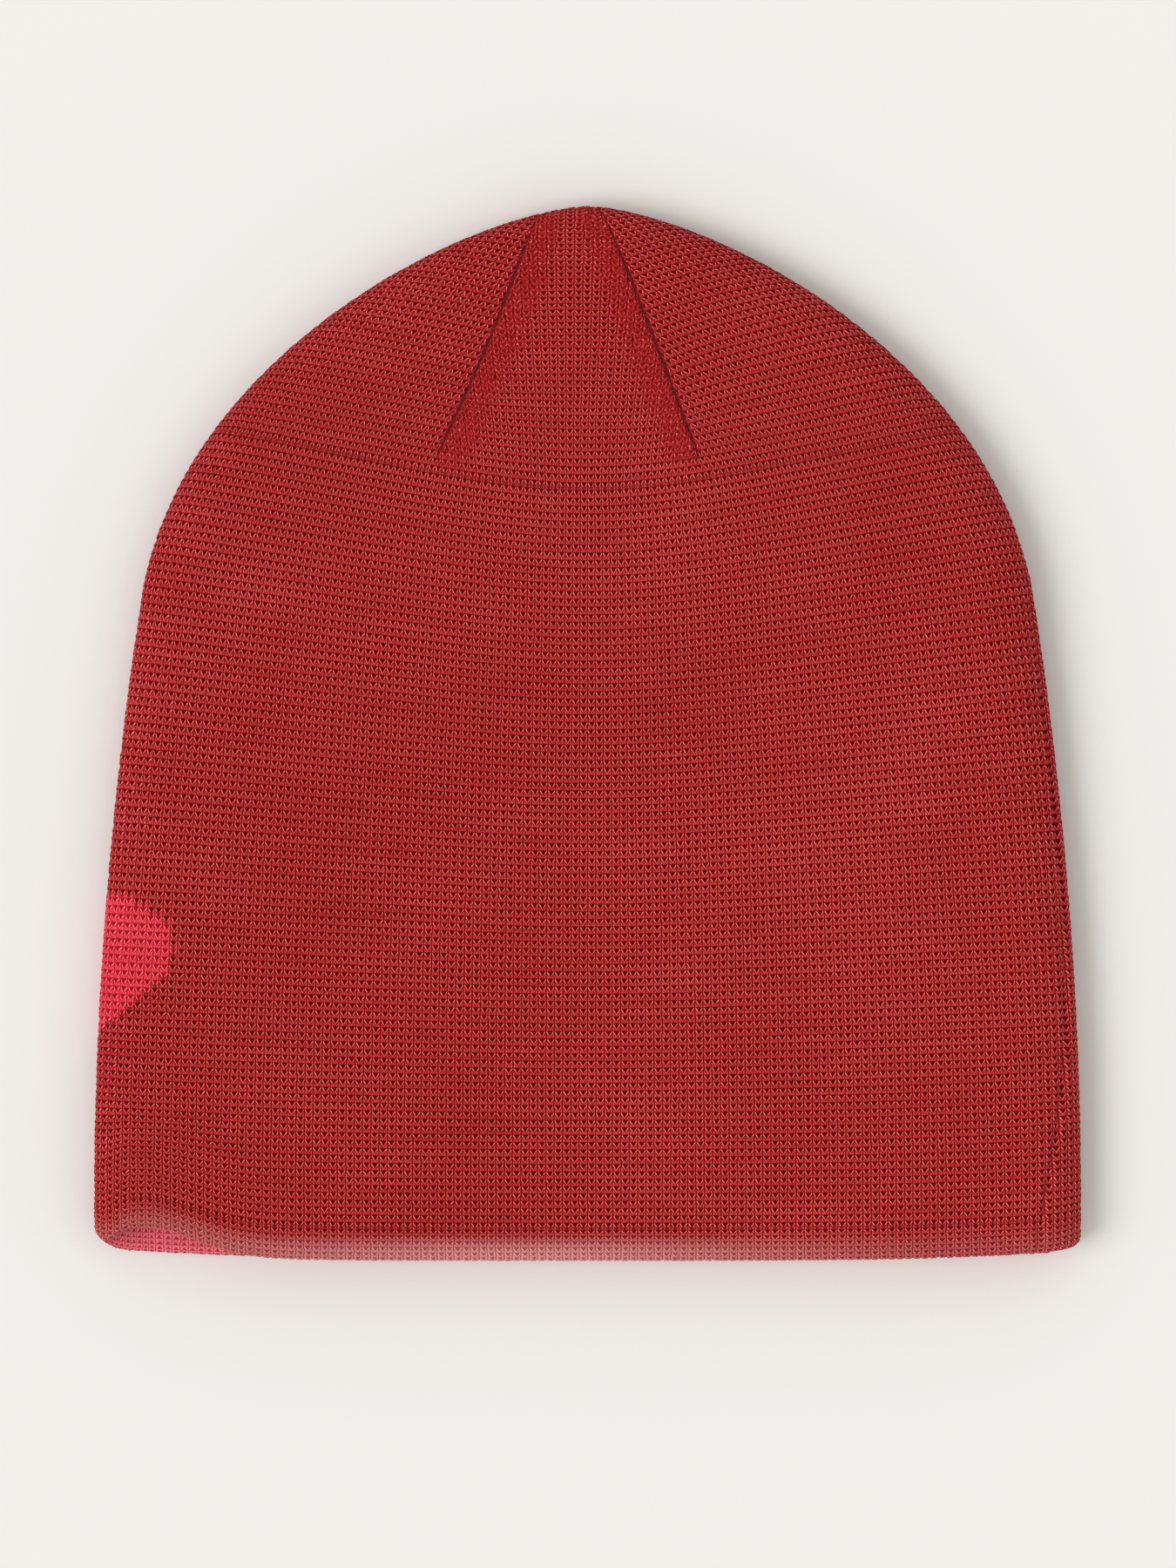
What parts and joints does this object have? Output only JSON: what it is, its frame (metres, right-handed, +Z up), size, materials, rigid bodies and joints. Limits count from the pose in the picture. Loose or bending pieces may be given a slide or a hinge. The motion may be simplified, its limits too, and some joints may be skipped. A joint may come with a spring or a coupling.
{
  "type": "knit beanie",
  "caption": "Double-layer fine-gauge knit beanie with a darted crown, folded rim, contrast lining and an inlaid heart, lying flat.",
  "frame": {"origin": "on the table under the middle of the flat hat (bottom centre of its bounding box)", "axes": "+X across the hat from the front fold (-X) to the back fold (+X); +Y from the rim to the crown tip; +Z up off the table, through both walls"},
  "size_m": [0.221, 0.2359, 0.014],
  "materials": {
    "red_knit": "matte fine-gauge plain knit, brick red",
    "pink_knit": "matte fine-gauge plain knit, pink lining",
    "motif_knit": "matte fine-gauge knit in pink yarn, set into the red",
    "red_thread": "linked seam in red yarn",
    "pink_thread": "linked seam in pink yarn",
    "label_cloth": "smooth woven satin ribbon, blank"
  },
  "bodies": {
    "root": {"care_label": "label_cloth", "crown_tack": "red_thread", "heart_motif": "motif_knit", "lining_back_seam": "pink_thread", "lining_dart_seam_back_lower": "pink_thread", "lining_dart_seam_back_upper": "pink_thread", "lining_dart_seam_front_lower": "pink_thread", "lining_dart_seam_front_upper": "pink_thread", "lining_shell": "pink_knit", "outer_back_seam": "red_thread", "outer_dart_seam_back_lower": "red_thread", "outer_dart_seam_back_upper": "red_thread", "outer_dart_seam_front_lower": "red_thread", "outer_dart_seam_front_upper": "red_thread", "outer_shell": "red_knit", "rim_fold": "red_knit"}
  },
  "joints": []
}
